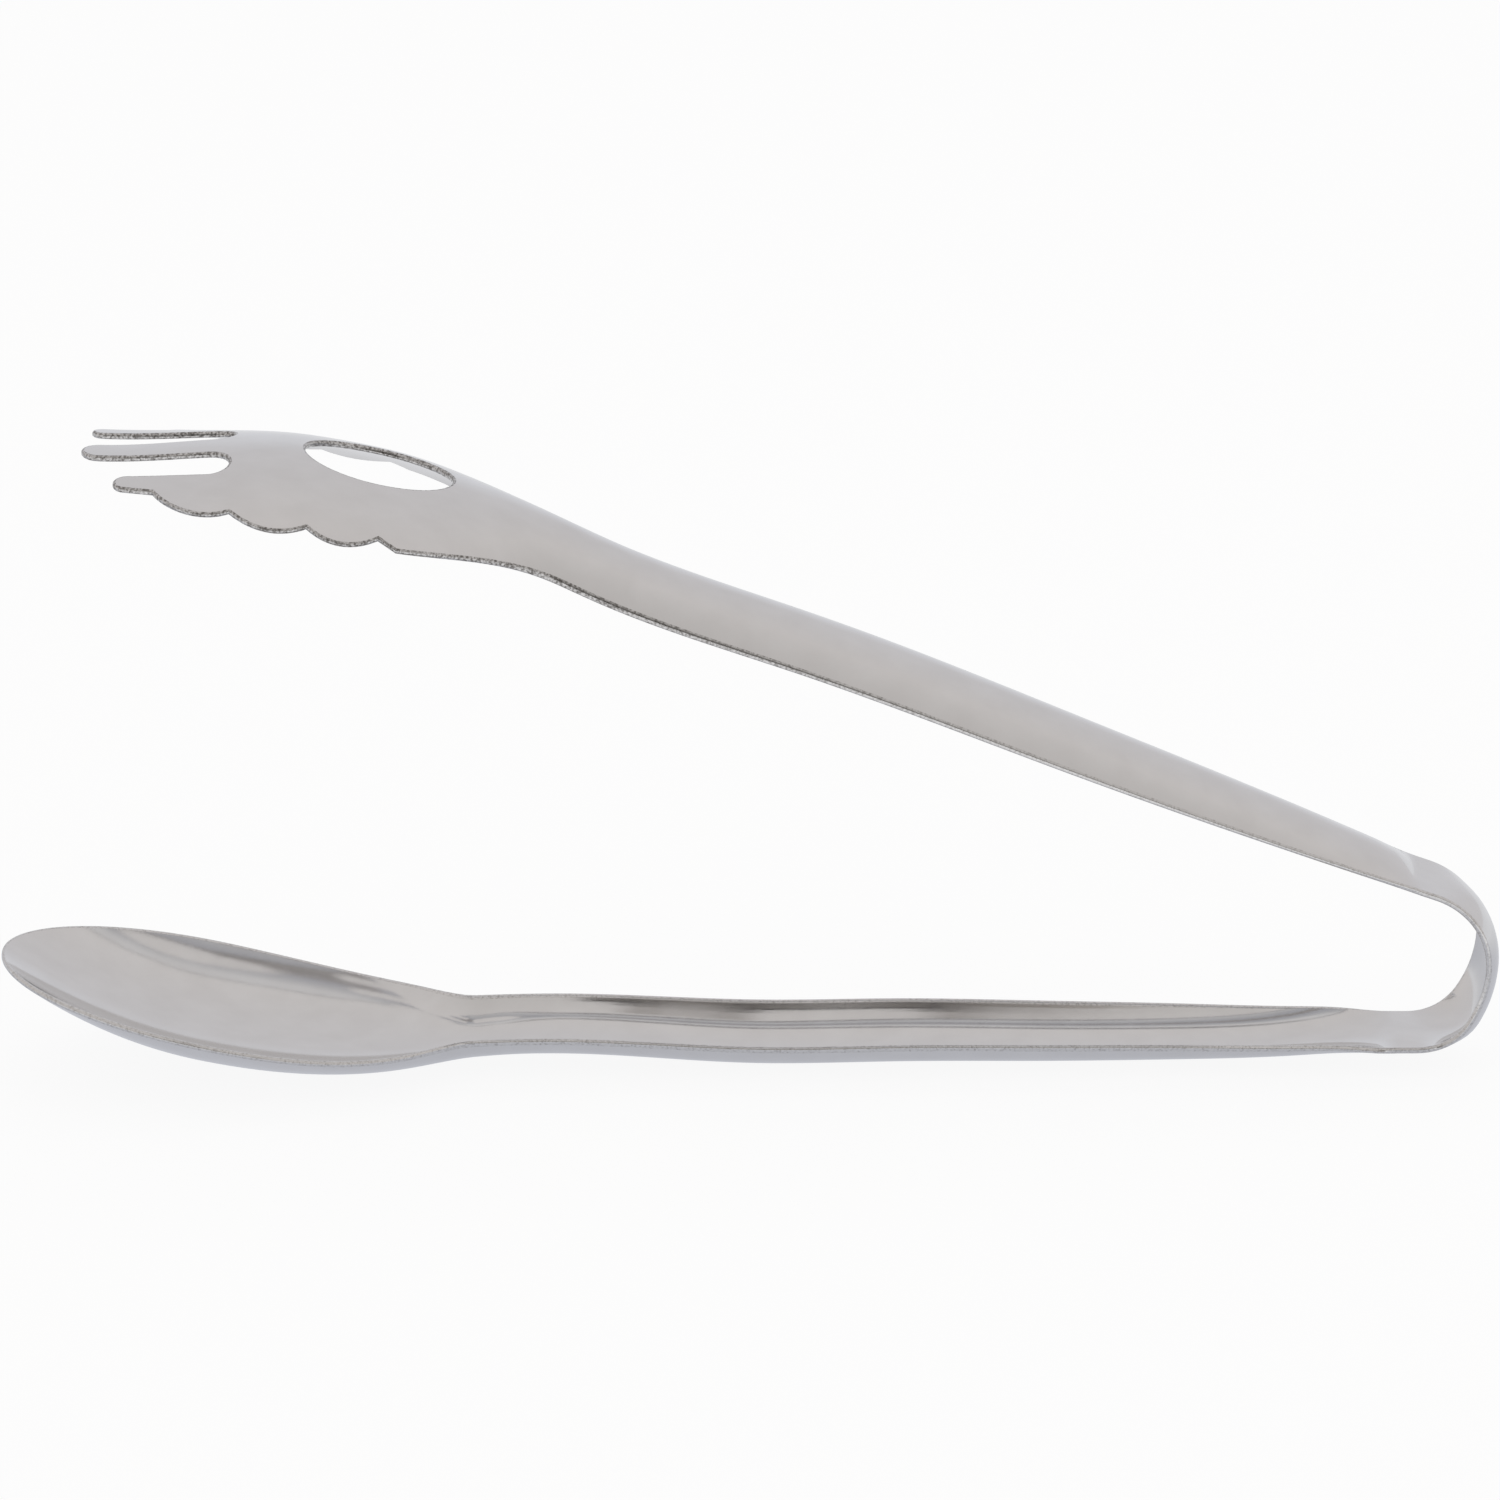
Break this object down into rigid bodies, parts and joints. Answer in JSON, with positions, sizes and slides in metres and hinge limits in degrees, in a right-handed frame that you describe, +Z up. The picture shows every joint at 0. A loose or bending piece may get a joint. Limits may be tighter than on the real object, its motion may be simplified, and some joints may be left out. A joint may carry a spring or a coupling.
{
  "type": "serving tongs",
  "caption": "One-piece sprung serving tongs: a spoon arm and a scalloped fork arm joined by a U-shaped bow.",
  "frame": {"origin": "centre of the bounding box's foot, on the table that the spoon arm lies on", "axes": "+X along the tongs towards the bow, +Y across them, +Z up from the spoon arm to the fork arm"},
  "size_m": [0.238, 0.0408, 0.1043],
  "materials": {
    "polished_stainless_steel": "polished"
  },
  "bodies": {
    "spoon_arm": {"spoon_arm": "polished_stainless_steel"},
    "spring_bow": {"spring_bow": "polished_stainless_steel"},
    "fork_arm": {"fork_arm": "polished_stainless_steel"}
  },
  "joints": [
    {"name": "lower_flex", "type": "hinge", "parent": "spoon_arm", "child": "spring_bow", "pos_m": [0.10442, 0, 0.00481], "axis": [0, 1, 0], "range_deg": [-10.8, 3], "stiffness_Nm_per_rad": 3.5, "springref_deg": 0.8},
    {"name": "upper_flex", "type": "hinge", "parent": "spring_bow", "child": "fork_arm", "pos_m": [0.10691, 0, 0.03163], "axis": [0, 1, 0], "range_deg": [-10.8, 3], "stiffness_Nm_per_rad": 3.5, "springref_deg": 0.8}
  ],
  "couplings": [
    {"joint": "upper_flex", "follows": "lower_flex", "ratio": 1}
  ]
}
